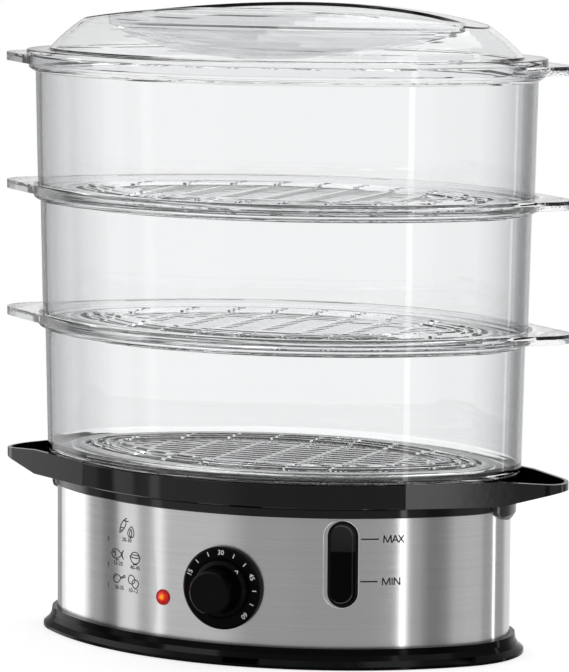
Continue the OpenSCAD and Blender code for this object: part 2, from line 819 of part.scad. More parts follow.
module filling_handle() {
    tip_top = tray_top - handle_tip_drop;
    difference() {
        intersection() {
            translate([0, 0, tank_top]) linear_extrude(tray_height) handle_outline(tray_out);
            scoop_side(tank_top, tip_top - handle_tip_h, tray_top, tip_top);
        }
        oval_slab(tray_out - tray_wall / 2, tank_top - cut, tray_top + cut);
        difference() {
            intersection() {
                translate([0, 0, tank_top]) linear_extrude(tray_height + 5) handle_outline(tray_out, 2.4);
                scoop_side(ledge_top + 1, tip_top - 1.4, tray_top + 5, tray_top + 5);
            }
            oval_slab(tray_out, tank_top - cut, tray_top + 6, 24, 40);
        }
    }
}

// Drip tray: band that carries the baskets, basin with steam chimneys and filling handles
module drip_tray() {
    color("#141414") difference() {
        union() {
            oval_sweep() polygon([
                [tray_out - 0.6, tank_top], [tray_out - 0.2, tank_top + 0.6], [tray_out, tray_top - 0.8],
                [tray_out - 0.6, tray_top], [tray_in, tray_top], [tray_in - 0.2, ledge_top],
                [tray_skirt - base_wall, ledge_top], [tray_skirt - base_wall - 0.4, basin_top],
                [-22, basin_top], [-22, tray_low], [tray_skirt - 0.4, tray_low], [tray_skirt, tank_top]
            ]);
            oval_slab(-20, tray_low, basin_top);
            tray_chimneys(chimney_wall, tray_low, chimney_top);
            both_ends() translate([fill_x, 0, tray_low]) cylinder(r = fill_r + chimney_wall, h = ledge_top - tray_low);
            both_ends() filling_handle();
        }
        tray_chimneys(0, tray_low - cut, chimney_top + cut);
        both_ends() translate([fill_x, 0, tray_low - cut]) cylinder(r = fill_r, h = ledge_top - tray_low + 2 * cut);
        both_ends() translate([tray_end - 6, -10, ledge_top + 1]) cube([8, 20, 5]);
    }
}

// ---------- baskets ----------

rim_h = tier_pitch + nest_depth;
foot_round = 2.4;
foot_flat = 2.5;
margin_w = 17;
margin_rise = 4.4;
grid_t = 2.4;
grid_seat = 3;

function basket_z(tier) = tray_top + (tier - 1) * tier_pitch;
function foot_out(tier) = basket_out + (tier - 1) * tier_step;
function wall_out(tier) = foot_out(tier) + wall_lean;
function rim_in(tier) = foot_out(tier + 1) + lift_fit;
function rim_out(tier) = rim_in(tier) + clear_wall;
function flange_edge(tier) = rim_out(tier) + flange_out;

// Basket wall, heights from its foot: foot ring, leaning wall, seat, rim and flange,
// and inside the raised margin that holds the floor grid
module basket_profile(tier) {
    f = foot_out(tier);
    w = wall_out(tier);
    ring = f - foot_round - foot_flat;
    seat = rim_h - nest_depth;
    corner = 4;
    polygon(concat(
        [[ring - clear_wall, -foot_drop], [ring, -foot_drop], [ring, 0]],
        arc_points([f - foot_round, foot_round], foot_round, -90, 0, 4),
        [
            [w, seat - clear_wall - 1.2], [rim_out(tier) - 0.8, seat - clear_wall + 0.8],
            [rim_out(tier), seat - clear_wall + 1.8], [rim_out(tier), rim_h - flange_height],
            [flange_edge(tier), rim_h - flange_height], [flange_edge(tier), rim_h - 0.8],
            [flange_edge(tier) - 0.8, rim_h], [rim_in(tier), rim_h], [rim_in(tier), seat],
            [w - clear_wall, seat]
        ],
        arc_points([f - clear_wall - corner, corner + clear_wall], corner, 0, -90, 4),
        [
            [f - margin_w + 1.5, margin_rise], [f - margin_w, margin_rise],
            [f - margin_w, margin_rise - grid_t], [f - margin_w - grid_seat, margin_rise - grid_t],
            [f - margin_w - grid_seat, 0], [ring - clear_wall, 0]
        ]
    ));
}

// Ear handle: thin top with a downturned lip and a locating pip near its root
module ear(tier) {
    lip = 1.8;
    top = 2.2;
    difference() {
        translate([0, 0, rim_h - flange_height]) linear_extrude(flange_height) handle_outline(flange_edge(tier));
        difference() {
            translate([0, 0, rim_h - flange_height - cut]) linear_extrude(flange_height - top + cut)
                handle_outline(flange_edge(tier), lip);
            oval_slab(rim_out(tier) + 0.2, rim_h - flange_height - 1, rim_h, 24, 40);
        }
        oval_slab(rim_out(tier) - clear_wall / 2, rim_h - flange_height - cut, rim_h + cut, 16, 24);
    }
}

module basket(tier) {
    color([0.86, 0.9, 0.92, 0.4]) translate([0, 0, basket_z(tier)]) {
        oval_sweep() basket_profile(tier);
        both_ends() ear(tier);
    }
}

// Floor grid: concentric ribs round a slotted middle, joined by cross bars
ring_pitch = 7.6;
ring_count = 3;
rib_w = ring_pitch - slot_w;
bar_w = 3;

module basket_floor(tier) {
    edge = foot_out(tier) - margin_w - 0.1;
    band = 6;
    middle = edge - band - ring_count * ring_pitch;
    low = margin_rise - grid_t;
    color([0.86, 0.9, 0.92, 0.4]) translate([0, 0, basket_z(tier)]) {
        oval_sweep() translate([edge - band, low]) square([band, grid_t]);
        for (i = [1:ring_count]) oval_sweep() translate([edge - band - i * ring_pitch, low]) polygon([
            [0, 0], [rib_w, 0], [rib_w, grid_t], [rib_w - 1, grid_t + 1], [1, grid_t + 1], [0, grid_t]
        ]);
        difference() {
            union() {
                lens(middle + 1, low, low + grid_t);
                intersection() {
                    grid_bars(low);
                    oval_slab(edge - band / 2, low, low + grid_t);
                }
            }
            lens_slots(middle - rib_w, low);
        }
    }
}

bar_pitch = 26;

// Bars across the ribs, square to X
module grid_bars(low) {
    bars = floor(body_length / 2 / bar_pitch);
    for (i = [-bars:bars]) translate([i * bar_pitch - bar_w / 2, -half_depth, low])
        cube([bar_w, 2 * half_depth, grid_t]);
    translate([-body_length / 2, -bar_w / 2, low]) cube([body_length, bar_w, grid_t]);
}

// Slots along X in the middle lens, between the bars
module lens_slots(out, low) {
    half_w = long_radius + out - long_c;
    rows = floor((half_w - slot_w) / ring_pitch);
    for (row = [-rows:rows], side = [-1, 1]) {
        y = (row + 0.5) * ring_pitch;
        reach = sqrt(pow(long_radius + out, 2) - pow(abs(y) + slot_w / 2 + long_c, 2));
        if (abs(y) + slot_w / 2 < half_w) {
            for (i = [0:floor(reach / bar_pitch)]) {
                start = i * bar_pitch + bar_w / 2;
                stop = min((i + 1) * bar_pitch - bar_w / 2, reach);
                if (stop - start > slot_w)
                    translate([side > 0 ? start : -stop, y - slot_w / 2, low - cut])
                        cube([stop - start, slot_w, grid_t + 2 * cut]);
            }
        }
    }
}

// ---------- lid ----------

lid_z = basket_z(3) + rim_h;
dome_foot = basket_out - 1.4;
dome_r = 97;
brim_edge = flange_edge(3) - 1.2;
spigot_out = rim_in(3) - lift_fit;
spigot_h = nest_depth - 1.5;
dome_side = [dome_foot, brim_height + 0.9];
dome_crest = [-36, dome_height];
fill_out = -39;
recess_slope = 5;
recess_floor_r = 400;
recess_side_r = (recess_tip * recess_tip + recess_half * recess_half) / (2 * recess_half);
recess_side_c = recess_side_r - recess_half;

// Centre of the dome's arc, below its foot and its crest
function arc_centre(p, q, r) = let (
        d = q - p,
        half = norm(d) / 2,
        drop = sqrt(r * r - half * half)
    ) (p + q) / 2 + drop * [-d[1], d[0]] / norm(d);

// Side of the dome from its foot to its crest, at a depth below its surface
function dome_arc(depth) = let (
        centre = arc_centre(dome_side, dome_crest, dome_r),
        foot = dome_side - centre,
        crest = dome_crest - centre
    ) arc_points(centre, dome_r - depth, atan2(foot[1], foot[0]), atan2(crest[1], crest[0]), 10);

module brim_profile() {
    polygon([
        [brim_edge, 0], [brim_edge, brim_height - 0.6], [brim_edge - 0.6, brim_height],
        [dome_foot + 1.6, brim_height], [dome_foot - 1, brim_height + 0.5], [dome_foot - 1, 0],
        [spigot_out - clear_wall, 0], [spigot_out - clear_wall, -spigot_h],
        [spigot_out - 0.8, -spigot_h], [spigot_out, 0.8 - spigot_h], [spigot_out, 0]
    ]);
}

// Solid dome at a depth below the surface, standing on the height low
module dome_body(depth, low) {
    intersection() {
        union() {
            oval_sweep() polygon(concat(
                [[dome_foot - depth, low]], dome_arc(depth),
                [[fill_out, dome_height - depth], [fill_out, low]]
            ));
            lens(fill_out + 1, low, dome_height - depth);
        }
        translate([0, 0, dome_height - crown_r - 0.02]) rotate([90, 0, 0])
            cylinder(r = crown_r - depth, h = 3 * half_depth, center = true, $fn = 512);
    }
}

// One of the two sloped sides of the recess
module recess_side(side, grow) {
    low_r = recess_side_r - recess_slope + grow;
    translate([0, side * recess_side_c, -cut])
        cylinder(r1 = low_r, r2 = low_r + recess_slope + 1, h = dome_height + 5, $fn = 256);
}

// Grip bar, at a depth below its surface
module grip_bar(depth) {
    foot = grip_width / 2 - depth;
    top = grip_height - depth;
    shoulder = foot - 3.4;
    translate([-body_length / 2, 0, 0]) rotate([90, 0, 90]) linear_extrude(body_length)
        polygon(concat(
            [[-foot, -3 * cut], [foot, -3 * cut], [foot, recess_floor]],
            arc_points([shoulder - 3, top - 3], 3, 20, 90, 4),
            arc_points([3 - shoulder, top - 3], 3, 90, 160, 4),
            [[-foot, recess_floor]]
        ));
}

// Space of the recess on both sides of the grip bar; its floor rises towards the tips
module recess(grow) {
    difference() {
        intersection() {
            recess_side(1, grow);
            recess_side(-1, grow);
            translate([0, 0, recess_floor + recess_floor_r]) rotate([90, 0, 0])
                cylinder(r = recess_floor_r + grow, h = 3 * half_depth, center = true, $fn = 512);
        }
        grip_bar(grow);
    }
}

// Lid: brim with a spigot in the top rim, dome, and a sunk recess with a hollow grip bar
module lid() {
    color([0.86, 0.9, 0.92, 0.4]) translate([0, 0, lid_z]) {
        oval_sweep() brim_profile();
        difference() {
            dome_body(0, 0);
            recess(0);
            difference() {
                dome_body(clear_wall, -cut);
                recess(clear_wall);
            }
        }
    }
}

base_cover();
rest_pads();
band_front();
band_rear();
band_end(180);  // band_left
band_end(0);  // band_right
water_tank();
cover_screws();
cord_gland();
heater_plate();
heating_tube();
heater_seal();
clamp_ring();
clamp_screws();
thermostat();
thermal_fuse();
terminal_block();
wiring();
timer_case();
timer_bell();
timer_screws();
dial_plate();
timer_shaft();
timer_knob();
lamp_lens();
lamp_body();
gauge_window();
gauge_seal();
steam_ring();
drip_tray();
basket(1);  // basket_1
basket_floor(1);  // basket_1_floor
basket(2);  // basket_2
basket_floor(2);  // basket_2_floor
basket(3);  // basket_3
basket_floor(3);  // basket_3_floor
lid();
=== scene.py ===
import math

import bpy
import numpy as np
from mathutils import Matrix, Vector


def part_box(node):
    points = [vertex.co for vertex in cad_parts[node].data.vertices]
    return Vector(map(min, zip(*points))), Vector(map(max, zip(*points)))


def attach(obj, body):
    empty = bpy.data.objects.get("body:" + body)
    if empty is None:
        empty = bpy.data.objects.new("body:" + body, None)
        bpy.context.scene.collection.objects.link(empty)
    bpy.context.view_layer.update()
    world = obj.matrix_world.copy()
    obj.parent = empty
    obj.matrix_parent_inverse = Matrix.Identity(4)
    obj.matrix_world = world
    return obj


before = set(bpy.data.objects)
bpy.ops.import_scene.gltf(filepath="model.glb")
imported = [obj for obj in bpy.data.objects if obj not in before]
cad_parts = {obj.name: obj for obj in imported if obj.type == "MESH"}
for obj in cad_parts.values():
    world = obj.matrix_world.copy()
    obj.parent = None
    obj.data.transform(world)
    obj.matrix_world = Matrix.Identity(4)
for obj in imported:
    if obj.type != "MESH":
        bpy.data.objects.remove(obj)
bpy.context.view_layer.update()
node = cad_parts
mm = 0.001

# The front arc of the body's oval, which the steel and its prints follow
longRadius = 183.187 * mm
longY = 97.02 * mm       # how far behind the origin its middle is


def newObject(name, data):
    obj = bpy.data.objects.new(name, data)
    bpy.context.scene.collection.objects.link(obj)
    return obj


print("camera")
camera = {
    "azimuth": 22.41,      # degrees round from the front, towards the gauge
    "elevation": 6.99,     # degrees down towards the target
    "roll": 0.359,
    "distance": 2.421,
    "side": 0.0016,        # target, across the view
    "height": 0.1816,      # target, above the table
    "lens": 217.7,         # mm, for a film of 36 mm along the picture's longer side
    "clip": (0.05, 60),    # nearest and farthest that it sees
}


def placeCamera(setup):
    # Right, ahead and up follow from the three angles; the camera stands back from its target along ahead
    az, el, roll = (math.radians(setup[k]) for k in ("azimuth", "elevation", "roll"))
    right = np.array([math.cos(az), math.sin(az), 0.0])
    ahead = np.array([-math.sin(az) * math.cos(el), math.cos(az) * math.cos(el), -math.sin(el)])
    up = np.cross(right, ahead)
    pose = np.eye(4)
    pose[:3, 0] = right * math.cos(roll) + up * math.sin(roll)
    pose[:3, 1] = up * math.cos(roll) - right * math.sin(roll)
    pose[:3, 2] = -ahead
    pose[:3, 3] = right * setup["side"] + np.array([0, 0, setup["height"]]) - ahead * setup["distance"]
    lens = bpy.data.cameras.new("camera")
    lens.lens = setup["lens"]
    lens.clip_start, lens.clip_end = setup["clip"]
    obj = newObject("camera", lens)
    obj.matrix_world = Matrix(pose.tolist())
    bpy.context.scene.camera = obj
    bpy.context.scene.view_settings.view_transform = "Standard"


placeCamera(camera)


class Graph:
    # Adds linked nodes to a tree: an input is a number, a colour or another node's output
    def __init__(self, tree):
        self.tree = tree

    def add(self, kind, inputs=None, **settings):
        made = self.tree.nodes.new(kind)
        for key, value in settings.items():
            setattr(made, key, value)
        for key, value in (inputs or {}).items():
            self.feed(made, key, value)
        return made

    def feed(self, made, key, value):
        if isinstance(value, bpy.types.NodeSocket):
            self.tree.links.new(value, made.inputs[key])
        else:
            made.inputs[key].default_value = value

    def math(self, operation, a, b=0.0):
        return self.add("ShaderNodeMath", {0: a, 1: b}, operation=operation).outputs[0]

    def length(self, a, b):
        # Square root of the sum of the two squares
        return self.math("SQRT", self.math("ADD", self.math("POWER", a, 2.0), self.math("POWER", b, 2.0)))

    def mix(self, factor, a, b):
        return self.add("ShaderNodeMix", {0: factor, 2: a, 3: b}).outputs[0]

    def place(self):
        return self.add("ShaderNodeTexCoord").outputs["Object"]

    def axes(self, vector):
        return self.add("ShaderNodeSeparateXYZ", {0: vector}).outputs

    def noise(self, scale, detail, stretch=None):
        where = self.place()
        if stretch:
            where = self.add("ShaderNodeMapping", {"Vector": where, "Scale": stretch}).outputs[0]
        return self.add("ShaderNodeTexNoise", {"Vector": where, "Scale": scale, "Detail": detail}).outputs[0]

    def range(self, value, low, high, fromLow=0.0, fromHigh=1.0, ease="LINEAR"):
        # Low at fromLow, high at fromHigh, and a straight or eased run between them
        return self.add("ShaderNodeMapRange", {
            "Value": value, "From Min": fromLow, "From Max": fromHigh, "To Min": low, "To Max": high},
            interpolation_type=ease).outputs[0]

    def ramp(self, factor, stops):
        made = self.add("ShaderNodeValToRGB", {0: factor})
        elements = made.color_ramp.elements
        while len(elements) < len(stops):
            elements.new(0.5)
        for element, (spot, colour) in zip(elements, stops):
            element.position = spot
            element.color = (*colour, 1.0)
        return made.outputs[0]

    def bump(self, height, distance, normal=None):
        made = self.add("ShaderNodeBump", {"Height": height, "Distance": distance})
        if normal:
            self.feed(made, "Normal", normal)
        return made.outputs[0]


def newMaterial(name, inputs):
    made = bpy.data.materials.new(name)
    made.use_nodes = True
    shader = made.node_tree.nodes["Principled BSDF"]
    for key, value in inputs.items():
        shader.inputs[key].default_value = value
    return made, Graph(made.node_tree), shader


def dress(finish, *names):
    # The CAD nodes get this finish in place of their plain one
    for name in names:
        slots = node[name].data.materials
        slots.clear()
        slots.append(finish)


print("studio")
studio = {
    "level": 0.62,         # light that the surroundings give matt surfaces
    "mirror": 0.45,        # how bright the room is in shiny surfaces between the panels
    "overhead": 0.35,      # what its ceiling adds there
    "ceiling": (0.35, 0.9),     # height in the sky, as a sine, at which the ceiling starts and is full
    # azimuth from the front, half width and soft edge in degrees, brightness
    "panels": [
        (-103, 6, 8, 1.35), (-67.5, 4, 3, 0.58), (-52, 1.0, 2.6, 0.75), (-38, 12, 14, 0.22),
        (45.4, 0.7, 0.9, 2.6), (82, 12, 12, 0.20), (124, 1, 2.5, 2.2), (180, 20, 14, 0.42),
    ],
    "flags": [(-77, 3, 4, 0.22), (59, 3, 5, 0.24), (20, 12, 8, 0.02)],     # dark places, given likewise
    "seam": 140,           # a panel further round than this also shows on the other side of the back
}


def lightRoom(setup):
    # In shiny surfaces a panel adds its brightness, and a flag takes it away, up to its half width from its
    # azimuth, and fades over its soft edge; matt ones get a plain level, and the camera sees white
    world = bpy.data.worlds.new("studio")
    bpy.context.scene.world = world
    world.use_nodes = True
    world.cycles.sampling_method = "NONE"    # shiny surfaces then see the panels and not the white backdrop
    g = Graph(world.node_tree)
    x, y, z = g.axes(g.add("ShaderNodeTexCoord").outputs["Generated"])
    azimuth = g.math("MULTIPLY", g.math("ARCTAN2", x, g.math("MULTIPLY", y, -1.0)), 180 / math.pi)

    def panel(middle, half, soft, bright):
        off = g.math("ABSOLUTE", g.math("SUBTRACT", azimuth, middle))
        if abs(middle) > setup["seam"]:
            off = g.math("MINIMUM", off, g.math("ABSOLUTE", g.math("ADD", azimuth, middle)))
        return g.range(off, bright, 0.0, half, half + soft, ease="SMOOTHSTEP")

    shiny = setup["mirror"]
    for spot in setup["panels"]:
        shiny = g.math("ADD", shiny, panel(*spot))
    for spot in setup["flags"]:
        shiny = g.math("SUBTRACT", shiny, panel(*spot))
    shiny = g.math("ADD", shiny, g.range(z, 0.0, setup["overhead"], *setup["ceiling"], ease="SMOOTHSTEP"))
    ray = g.add("ShaderNodeLightPath").outputs
    strength = g.mix(ray["Is Glossy Ray"], setup["level"], shiny)
    seen = g.math("MAXIMUM", ray["Is Camera Ray"], ray["Is Transmission Ray"])
    backdrop = world.node_tree.nodes["Background"]
    g.feed(backdrop, "Strength", g.mix(seen, strength, 1.0))
    g.feed(backdrop, "Color", (1, 1, 1, 1))


lightRoom(studio)

lamps = [
    # name, position, aim, size, power
    ("key", (-1.3, -1.5, 1.7), (0, 0, 0.15), 0.9, 9.0),
    ("fill", (1.7, -1.2, 1.1), (0, 0, 0.15), 1.0, 4.0),
    ("top", (0.1, 0.5, 2.0), (0, 0, 0.2), 1.2, 9.0),
]


def hangLamp(name, spot, aim, size, power):
    # A square lamp that faces along the line from its spot to its aim
    light = bpy.data.lights.new(name, "AREA")
    light.energy, light.size = power, size
    obj = newObject(name, light)
    obj.location = spot
    obj.rotation_mode = "QUATERNION"
    obj.rotation_quaternion = Vector(np.array(aim) - np.array(spot)).to_track_quat("-Z", "Y")


for row in lamps:
    hangLamp(*row)

floor = {
    "rings": [0.15, 0.25, 0.35, 0.45, 0.58],
    "sides": 64,
    "level": -0.3 * mm,    # just below the table's level, so that the foot stands clear of it
    "grey": 0.6,           # what it reflects
    "glow": 0.6,           # what it adds for the eye, which makes it white but keeps the object's shadow
}


def makeFloor(setup):
    # A flat disc: a middle, and rings of points (radius times cosine, radius times sine of the turn)
    n, rings = setup["sides"], len(setup["rings"])
    r, a = np.meshgrid(setup["rings"], np.linspace(0, 2 * np.pi, n, endpoint=False), indexing="ij")
    points = np.stack([r * np.cos(a), r * np.sin(a), np.full_like(r, setup["level"])], -1).reshape(-1, 3)
    points = np.vstack([points, [[0, 0, setup["level"]]]])
    ring, step = np.meshgrid(np.arange(rings - 1), np.arange(n), indexing="ij")
    inner, outer, after = ring * n, (ring + 1) * n, (step + 1) % n
    quads = np.stack([inner + step, outer + step, outer + after, inner + after], -1).reshape(-1, 4)
    fan = np.stack([np.full(n, rings * n), step[0], after[0]], -1)
    mesh = bpy.data.meshes.new("floor")
    mesh.from_pydata(points.tolist(), [], fan.tolist() + quads.tolist())
    mat = bpy.data.materials.new("paleFloor")
    mat.use_nodes = True
    mat.node_tree.nodes.clear()
    g = Graph(mat.node_tree)
    ray = g.add("ShaderNodeLightPath").outputs
    seen = g.math("MAXIMUM", ray["Is Camera Ray"],
                  g.math("MAXIMUM", ray["Is Glossy Ray"], ray["Is Transmission Ray"]))
    matt = g.add("ShaderNodeBsdfDiffuse", {"Color": (*[setup["grey"]] * 3, 1)})
    glow = g.add("ShaderNodeEmission", {
        "Color": (1, 1, 1, 1), "Strength": g.math("MULTIPLY", seen, setup["glow"])})
    both = g.add("ShaderNodeAddShader", {0: matt.outputs[0], 1: glow.outputs[0]})
    g.add("ShaderNodeOutputMaterial", {0: both.outputs[0]})
    mesh.materials.append(mat)
    obj = newObject("floor", mesh)
    obj.visible_glossy = False    # shiny surfaces look past it, into the room


makeFloor(floor)

print("materials")
# Families of finishes. "tone", "sheen" and "grain" are the scale and detail of the noises of colour, sheen
# and surface; "dark" and "pale" are where a tone stands in the first, and its share of the colour; "spread"
# is the least and the greatest share of the roughness, and "height" is how high the surface's noise stands
gloss = {"shader": {"IOR": 1.5}, "specular": 0.07, "tone": (30, 4), "dark": (0.3, 0.85), "pale": (0.7, 1.0),
         "sheen": (90, 3), "spread": (0.7, 1.5), "grain": (220, 1), "height": 0.006 * mm}
satin = {"shader": {"IOR": 1.48}, "specular": 0.5, "tone": (40, 4), "dark": (0.3, 0.92), "pale": (0.7, 1.06),
         "sheen": (300, 2), "spread": (0.85, 1.15), "grain": (1800, 2), "height": 0.04 * mm}
metal = {"shader": {"Metallic": 1.0}, "specular": 0.5, "tone": (60, 4), "dark": (0.3, 0.88),
         "pale": (0.75, 1.0), "sheen": (400, 3), "spread": (0.75, 1.3), "grain": (1500, 2),
         "height": 0.02 * mm}


def cloudyFinish(name, family, colour, rough):
    # Cloudy colour, slightly uneven roughness and a faint bump, each from a noise of its own
    made, g, shader = newMaterial(name, {**family["shader"], "Specular IOR Level": family["specular"]})
    stops = [(spot, [min(1.0, c * share) for c in colour])
             for spot, share in (family["dark"], family["pale"])]
    low, high = [rough * share for share in family["spread"]]
    g.feed(shader, "Base Color", g.ramp(g.noise(*family["tone"]), stops))
    g.feed(shader, "Roughness", g.range(g.noise(*family["sheen"]), low, high))
    g.feed(shader, "Normal", g.bump(g.noise(*family["grain"]), family["height"]))
    return made


finishes = [
    # name, family, colour, roughness, what differs from its family, and the nodes that have it
    ("glossBlack", gloss, (0.0012, 0.0012, 0.0013), 0.08, {}, ["base_cover"]),
    ("trayBlack", gloss, (0.002, 0.002, 0.0022), 0.05, {"specular": 0.38, "height": 0.004 * mm},
     ["drip_tray", "water_tank"]),
    ("dialBlack", satin, (0.002, 0.002, 0.0022), 0.3, {"specular": 0.05, "height": 0.01 * mm},
     ["dial_plate"]),
    ("softRubber", satin, (0.02, 0.02, 0.02), 0.7, {"specular": 0.3}, ["rest_pads"]),
    ("grommetBlack", satin, (0.003, 0.003, 0.0033), 0.45, {"specular": 0.12}, ["cord_gland", "gauge_seal"]),
    ("zinc", metal, (0.62, 0.63, 0.62), 0.3, {}, ["cover_screws", "clamp_screws", "timer_screws"]),
    ("castAluminium", metal, (0.66, 0.67, 0.69), 0.42, {"grain": (900, 2)}, ["heater_plate"]),
    ("dullSteel", metal, (0.34, 0.34, 0.36), 0.4, {}, ["heating_tube", "clamp_ring"]),
    ("brightSteel", metal, (0.68, 0.69, 0.7), 0.16, {}, ["timer_bell", "timer_shaft"]),
    ("brassBody", metal, (0.70, 0.52, 0.24), 0.25, {}, ["thermal_fuse"]),
    ("siliconeRed", satin, (0.36, 0.1, 0.06), 0.5, {}, ["heater_seal"]),
    ("creamPlastic", satin, (0.72, 0.69, 0.6), 0.4, {}, ["thermostat", "terminal_block", "timer_case"]),
    ("leadRed", satin, (0.3, 0.06, 0.04), 0.45, {}, ["wiring"]),
    ("ringWhite", satin, (0.82, 0.82, 0.81), 0.38, {}, ["steam_ring"]),
]
for name, family, colour, rough, changes, nodes in finishes:
    dress(cloudyFinish(name, {**family, **changes}, colour, rough), *nodes)

steel = {
    "colour": 0.64, "brushed": 0.94, "depth": 0.0028 * mm,
    # shares of the colour and of the roughness, and where they stand in the mixed lines
    "dark": (0.93, 0.93, 0.94), "pale": (1.05, 1.05, 1.06), "toneAt": (0.25, 0.75),
    "rough": 0.19, "spread": (0.92, 1.08), "spreadAt": (0.3, 0.7),
    # lines in a metre, along the band both ways and up it, and their detail
    "fine": ((14, 14, 3000), 2), "broad": ((3, 3, 500), 3), "fineShare": 0.6,
}


def brushedSteel(setup):
    # Brushed along the band: tone and height vary quickly with height, slowly along it
    made, g, shader = newMaterial("brushedSteel", {
        "Metallic": 1.0, "Anisotropic": setup["brushed"], "Anisotropic Rotation": 0.25})
    fine, broad = [g.noise(1.0, detail, stretch) for stretch, detail in (setup["fine"], setup["broad"])]
    mixed = g.math("ADD", g.math("MULTIPLY", fine, setup["fineShare"]),
                   g.math("MULTIPLY", broad, 1 - setup["fineShare"]))
    tones = [[setup["colour"] * share for share in setup[key]] for key in ("dark", "pale")]
    g.feed(shader, "Base Color", g.ramp(mixed, list(zip(setup["toneAt"], tones))))
    low, high = [setup["rough"] * share for share in setup["spread"]]
    g.feed(shader, "Roughness", g.range(mixed, low, high, *setup["spreadAt"]))
    g.feed(shader, "Normal", g.bump(fine, setup["depth"]))
    tangent = g.add("ShaderNodeTangent", direction_type="RADIAL", axis="Z")
    g.feed(shader, "Tangent", tangent.outputs[0])
    return made


dress(brushedSteel(steel), "band_front", "band_rear", "band_left", "band_right")

# Painted shade: the colour of an upright wall that faces the eye, slants away, is steep and is seen edge-on
clear = {"facing": (0.950, 0.954, 0.958), "slant": (0.84, 0.845, 0.85), "steep": (0.36, 0.37, 0.38),
         "edge": (0.12, 0.125, 0.13), "rough": 0.015, "flow": 0.06 * mm, "bend": 1.49}
# The lid's painted shade, given likewise
clearDome = {"facing": (0.90, 0.904, 0.908), "slant": (0.84, 0.845, 0.85), "steep": (0.66, 0.67, 0.68),
             "edge": (0.5, 0.51, 0.52), "rough": 0.012, "flow": 0.002 * mm, "bend": 1.36}
moulding = {
    # where the painted shades stand, and the noises of the sheen and of the waves
    "paintedShadeAt": {"facing": 0.2, "slant": 0.36, "steep": 0.52, "edge": 0.75},
    "sheen": (30, 2), "spread": (0.6, 1.6), "waves": (26, 1),
    # the ears' speckle, and how far from the middle it starts and is full
    "grains": (700, 1), "deep": 0.25 * mm, "ears": (0.164, 0.167),
}


def clearPlastic(name, setup):
    # Clear moulding with faint flow waves, and painted shade in its colour: it follows how far a surface
    # turns from the eye times how upright it is, so an upright wall is painted darker where it is seen
    # edge-on
    made, g, shader = newMaterial(name, {"Transmission Weight": 1.0, "IOR": setup["bend"]})
    facing = g.add("ShaderNodeLayerWeight", {"Blend": 0.5}).outputs["Facing"]
    level = g.axes(g.add("ShaderNodeNewGeometry").outputs["Normal"])[2]
    upright = g.math("SUBTRACT", 1.0, g.math("ABSOLUTE", level))
    paintedShades = [(spot, setup[key]) for key, spot in moulding["paintedShadeAt"].items()]
    # Painted shade: the colour darkens as an upright wall turns edge-on to the eye
    g.feed(shader, "Base Color", g.ramp(g.math("MULTIPLY", facing, upright), paintedShades))
    low, high = [setup["rough"] * share for share in moulding["spread"]]
    g.feed(shader, "Roughness", g.range(g.noise(*moulding["sheen"]), low, high))
    across = g.math("ABSOLUTE", g.axes(g.place())[0])
    grains = g.math("MULTIPLY", g.noise(*moulding["grains"]), g.range(across, 0.0, 1.0, *moulding["ears"]))
    waves = g.bump(g.noise(*moulding["waves"]), setup["flow"])
    g.feed(shader, "Normal", g.bump(grains, moulding["deep"], normal=waves))
    return made


dress(clearPlastic("clearWall", clear),
      "basket_1", "basket_1_floor", "basket_2", "basket_2_floor", "basket_3", "basket_3_floor")
dress(clearPlastic("clearLid", clearDome), "lid")

lamp = {
    "x": -40.4 * mm, "z": 35.0 * mm, "radius": 4.2 * mm, "glow": 0.9,
    "facets": (900, 1), "sparkle": 0.35, "shift": 0.17,
    # colours from the middle to the rim: what it gives out, and what it is itself
    "lit": [(0.0, (1.0, 0.50, 0.03)), (0.28, (1.0, 0.27, 0.006)), (0.45, (0.85, 0.025, 0.003)),
            (0.8, (0.3, 0.001, 0.001))],
    "body": [(0.0, (0.08, 0.01, 0.002)), (1.0, (0.1, 0.001, 0.001))],
}


def glowingLens(setup):
    # Lit from behind: orange in the middle and deep red towards the rim, by the distance from the middle as a
    # share of the radius, which small facets break up
    made, g, shader = newMaterial("glowingLens", {"IOR": 1.5, "Roughness": 0.08, "Specular IOR Level": 0.25})
    x, y, z = g.axes(g.place())
    far = g.length(g.math("SUBTRACT", x, setup["x"]), g.math("SUBTRACT", z, setup["z"]))
    far = g.math("DIVIDE", far, setup["radius"])
    facets = g.math("MULTIPLY", g.noise(*setup["facets"]), setup["sparkle"])
    far = g.math("ADD", far, g.math("SUBTRACT", facets, setup["shift"]))
    g.feed(shader, "Base Color", g.ramp(far, setup["body"]))
    g.feed(shader, "Emission Color", g.ramp(far, setup["lit"]))
    g.feed(shader, "Emission Strength", setup["glow"])
    return made


dress(glowingLens(lamp), "lamp_lens", "lamp_body")

gaugeLow, gaugeHigh = [np.array(corner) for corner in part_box("gauge_window")]
gauge = {
    "middle": ((gaugeLow + gaugeHigh) / 2).tolist(),
    "straight": 16.4 * mm,                   # half the length of its straight sides
    "pane": 7.2 * mm, "opening": 8.95 * mm,  # half the width of the pane, and of the hole in the steel
    "level": (67.6 * mm, 86.0 * mm),         # height at which the haze starts, and is full
    "haze": [(0.0, (0.0008, 0.0008, 0.0008)), (0.04, (0.016, 0.016, 0.017)), (1.0, (0.03, 0.03, 0.031))],
    # the painted highlight, a paler line inside the pane's edge, by the distance from its middle line as a
    # share of its half width
    "line": [(0.0, (0, 0, 0)), (0.80, (0, 0, 0)), (0.87, (0.12, 0.12, 0.12)), (0.91, (0.02, 0.02, 0.02)),
             (0.95, (0, 0, 0))],
    "breaks": (260, 2), "glintBreakHigh": 2 * mm, "faintestGlint": 0.25,     # what breaks that painted highlight up
}


